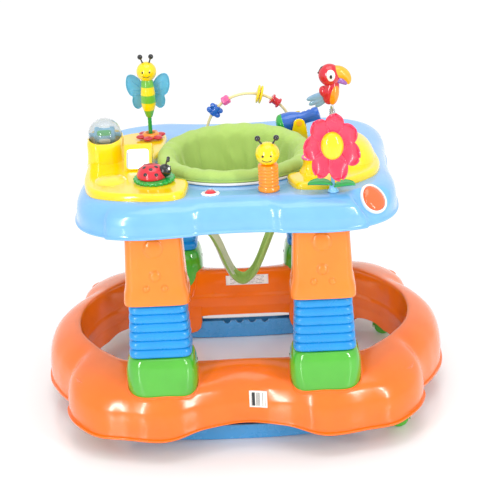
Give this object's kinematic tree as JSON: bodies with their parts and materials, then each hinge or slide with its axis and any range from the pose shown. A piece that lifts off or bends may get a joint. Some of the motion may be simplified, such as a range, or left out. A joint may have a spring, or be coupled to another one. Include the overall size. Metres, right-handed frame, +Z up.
{
  "type": "baby walker",
  "caption": "Baby walker with a ribbed-leg base ring, rockers, retractable casters, a play tray with toys and a swivel sling seat.",
  "frame": {"origin": "on the floor, under the middle of the base ring", "axes": "+Z up, +X along the rockers, -Y towards the side of the tray with the grub and the flower"},
  "size_m": [0.7, 0.578, 0.5805],
  "materials": {
    "orange_shell": "glossy",
    "light_orange": "glossy",
    "green_plastic": "glossy",
    "blue_plastic": "glossy",
    "sky_plastic": "glossy",
    "yellow_plastic": "glossy",
    "red_plastic": "glossy",
    "pink_plastic": "glossy",
    "cream_plastic": "satin",
    "black_plastic": "glossy",
    "grey_plastic": "satin",
    "white_plastic": "satin",
    "clear_plastic": "clear",
    "lime_fabric": "woven",
    "mirror_face": "polished",
    "steel_wire": "brushed"
  },
  "bodies": {
    "base": {"base_ring": "orange_shell", "foot_bulb_front_left": "green_plastic", "foot_bulb_front_right": "green_plastic", "foot_bulb_rear_left": "green_plastic", "foot_bulb_rear_right": "green_plastic", "ribbed_column_front_left": "blue_plastic", "ribbed_column_front_right": "blue_plastic", "ribbed_column_rear_left": "blue_plastic", "ribbed_column_rear_right": "blue_plastic"},
    "rocker_front": {"rocker_front": "blue_plastic"},
    "rocker_rear": {"rocker_rear": "blue_plastic"},
    "tray": {"tray_shell": "sky_plastic", "leg_sleeve_front_left": "light_orange", "leg_sleeve_front_right": "light_orange", "leg_sleeve_rear_left": "light_orange", "leg_sleeve_rear_right": "light_orange", "toy_panel_left": "yellow_plastic", "toy_panel_right": "yellow_plastic", "mirror": "mirror_face", "picture_ball": "clear_plastic", "bee_flower_base": "red_plastic", "grub_body": "light_orange", "bead_wire": "cream_plastic", "telescope_cradle": "yellow_plastic", "flower_stem": "sky_plastic", "parrot_stem": "steel_wire"},
    "seat": {"seat_ring": "white_plastic", "seat_rim_pad": "lime_fabric", "seat_band": "lime_fabric", "crotch_sling": "lime_fabric"},
    "picture_drum": {"picture_drum": "blue_plastic"},
    "bee_stem": {"bee_stem": "green_plastic"},
    "bee": {"bee_body": "yellow_plastic", "bee_wings": "sky_plastic"},
    "ladybug": {"ladybug_disc": "green_plastic", "ladybug_shell": "red_plastic", "ladybug_head": "black_plastic"},
    "gem_button": {"gem_button": "red_plastic"},
    "grub_head": {"grub_head": "yellow_plastic"},
    "bead_butterfly": {"bead_butterfly": "blue_plastic"},
    "bead_pink": {"bead_pink": "pink_plastic"},
    "bead_yellow": {"bead_yellow": "yellow_plastic"},
    "bead_spool": {"bead_spool": "red_plastic"},
    "telescope": {"telescope_barrel": "blue_plastic"},
    "flower": {"flower_head": "red_plastic"},
    "parrot": {"parrot_body": "red_plastic"},
    "oval_button": {"oval_button": "orange_shell"},
    "rattle": {"rattle_ball": "orange_shell"},
    "caster_carrier_front_left": {"caster_carrier_front_left": "grey_plastic"},
    "caster_fork_front_left": {"caster_fork_front_left": "green_plastic"},
    "caster_wheels_front_left": {"caster_wheels_front_left": "green_plastic"},
    "caster_carrier_front_right": {"caster_carrier_front_right": "grey_plastic"},
    "caster_fork_front_right": {"caster_fork_front_right": "green_plastic"},
    "caster_wheels_front_right": {"caster_wheels_front_right": "green_plastic"},
    "caster_carrier_rear_left": {"caster_carrier_rear_left": "grey_plastic"},
    "caster_fork_rear_left": {"caster_fork_rear_left": "green_plastic"},
    "caster_wheels_rear_left": {"caster_wheels_rear_left": "green_plastic"},
    "caster_carrier_rear_right": {"caster_carrier_rear_right": "grey_plastic"},
    "caster_fork_rear_right": {"caster_fork_rear_right": "green_plastic"},
    "caster_wheels_rear_right": {"caster_wheels_rear_right": "green_plastic"}
  },
  "joints": [
    {"name": "rocker_front_slide", "type": "slide", "parent": "base", "child": "rocker_front", "axis": [0, 0, 1], "range_m": [-0.03, 0]},
    {"name": "rocker_rear_slide", "type": "slide", "parent": "base", "child": "rocker_rear", "axis": [0, 0, 1], "range_m": [-0.03, 0]},
    {"name": "caster_retract_front_left", "type": "slide", "parent": "base", "child": "caster_carrier_front_left", "axis": [0, 0, 1], "range_m": [-0.034, 0]},
    {"name": "caster_swivel_front_left", "type": "hinge", "parent": "caster_carrier_front_left", "child": "caster_fork_front_left", "pos_m": [-0.256, -0.186, 0.0715], "axis": [0, 0, 1], "continuous": true},
    {"name": "caster_roll_front_left", "type": "hinge", "parent": "caster_fork_front_left", "child": "caster_wheels_front_left", "pos_m": [-0.252, -0.186, 0.051], "axis": [0, 1, 0], "continuous": true},
    {"name": "caster_retract_front_right", "type": "slide", "parent": "base", "child": "caster_carrier_front_right", "axis": [0, 0, 1], "range_m": [0, 0.034]},
    {"name": "caster_swivel_front_right", "type": "hinge", "parent": "caster_carrier_front_right", "child": "caster_fork_front_right", "pos_m": [0.256, -0.186, 0.0375], "axis": [0, 0, 1], "continuous": true},
    {"name": "caster_roll_front_right", "type": "hinge", "parent": "caster_fork_front_right", "child": "caster_wheels_front_right", "pos_m": [0.26, -0.186, 0.017], "axis": [0, 1, 0], "continuous": true},
    {"name": "caster_retract_rear_left", "type": "slide", "parent": "base", "child": "caster_carrier_rear_left", "axis": [0, 0, 1], "range_m": [-0.034, 0]},
    {"name": "caster_swivel_rear_left", "type": "hinge", "parent": "caster_carrier_rear_left", "child": "caster_fork_rear_left", "pos_m": [-0.256, 0.186, 0.0715], "axis": [0, 0, 1], "continuous": true},
    {"name": "caster_roll_rear_left", "type": "hinge", "parent": "caster_fork_rear_left", "child": "caster_wheels_rear_left", "pos_m": [-0.252, 0.186, 0.051], "axis": [0, 1, 0], "continuous": true},
    {"name": "caster_retract_rear_right", "type": "slide", "parent": "base", "child": "caster_carrier_rear_right", "axis": [0, 0, 1], "range_m": [0, 0.034]},
    {"name": "caster_swivel_rear_right", "type": "hinge", "parent": "caster_carrier_rear_right", "child": "caster_fork_rear_right", "pos_m": [0.256, 0.186, 0.0375], "axis": [0, 0, 1], "continuous": true},
    {"name": "caster_roll_rear_right", "type": "hinge", "parent": "caster_fork_rear_right", "child": "caster_wheels_rear_right", "pos_m": [0.26, 0.186, 0.017], "axis": [0, 1, 0], "continuous": true},
    {"name": "tray_height", "type": "slide", "parent": "base", "child": "tray", "axis": [0, 0, 1], "range_m": [0, 0.05]},
    {"name": "seat_swivel", "type": "hinge", "parent": "tray", "child": "seat", "pos_m": [0, -0.045, 0.4376], "axis": [0, 0.0787, 0.9969], "continuous": true},
    {"name": "picture_drum_spin", "type": "hinge", "parent": "tray", "child": "picture_drum", "pos_m": [-0.222, -0.006, 0.487], "axis": [1, 0, 0], "continuous": true},
    {"name": "bee_sway", "type": "hinge", "parent": "tray", "child": "bee_stem", "pos_m": [-0.151, 0.107, 0.44105], "axis": [0, 1, 0], "range_deg": [-15, 15], "stiffness_Nm_per_rad": 0.3},
    {"name": "bee_spin", "type": "hinge", "parent": "bee_stem", "child": "bee", "pos_m": [-0.151, 0.107, 0.477], "axis": [0, 0, 1], "continuous": true},
    {"name": "ladybug_turn", "type": "hinge", "parent": "tray", "child": "ladybug", "pos_m": [-0.132, -0.168, 0.4614], "axis": [0, 0, 1], "continuous": true},
    {"name": "gem_push", "type": "slide", "parent": "tray", "child": "gem_button", "axis": [0, 0, 1], "range_m": [-0.003, 0], "stiffness_N_per_m": 400},
    {"name": "grub_head_turn", "type": "hinge", "parent": "tray", "child": "grub_head", "pos_m": [0.055, -0.209, 0.5], "axis": [0, 0, 1], "continuous": true},
    {"name": "bead_butterfly_along_wire", "type": "hinge", "parent": "tray", "child": "bead_butterfly", "pos_m": [0.025, 0.142, 0.42344], "axis": [0, -1, 0], "range_deg": [-3.5, 22]},
    {"name": "bead_pink_along_wire", "type": "hinge", "parent": "tray", "child": "bead_pink", "pos_m": [0.025, 0.142, 0.42344], "axis": [0, -1, 0], "range_deg": [-17, 3.5]},
    {"name": "bead_yellow_along_wire", "type": "hinge", "parent": "tray", "child": "bead_yellow", "pos_m": [0.025, 0.142, 0.42344], "axis": [0, -1, 0], "range_deg": [-5.5, 17]},
    {"name": "bead_spool_along_wire", "type": "hinge", "parent": "tray", "child": "bead_spool", "pos_m": [0.025, 0.142, 0.42344], "axis": [0, -1, 0], "range_deg": [-32, 5.5]},
    {"name": "telescope_tilt", "type": "hinge", "parent": "tray", "child": "telescope", "pos_m": [0.113, 0.097, 0.464], "axis": [0, -1, 0], "range_deg": [-30, 6]},
    {"name": "flower_spin", "type": "hinge", "parent": "tray", "child": "flower", "pos_m": [0.158, -0.2395, 0.534], "axis": [0, -1, 0], "continuous": true},
    {"name": "parrot_turn", "type": "hinge", "parent": "tray", "child": "parrot", "pos_m": [0.17, 0.035, 0.507], "axis": [0, 0, 1], "continuous": true},
    {"name": "oval_push", "type": "slide", "parent": "tray", "child": "oval_button", "axis": [0.4208, -0.6211, 0.6612], "range_m": [-0.003, 0], "stiffness_N_per_m": 400},
    {"name": "rattle_spin", "type": "hinge", "parent": "tray", "child": "rattle", "pos_m": [0.147, 0.006, 0.44567], "axis": [0, 0, 1], "continuous": true}
  ]
}
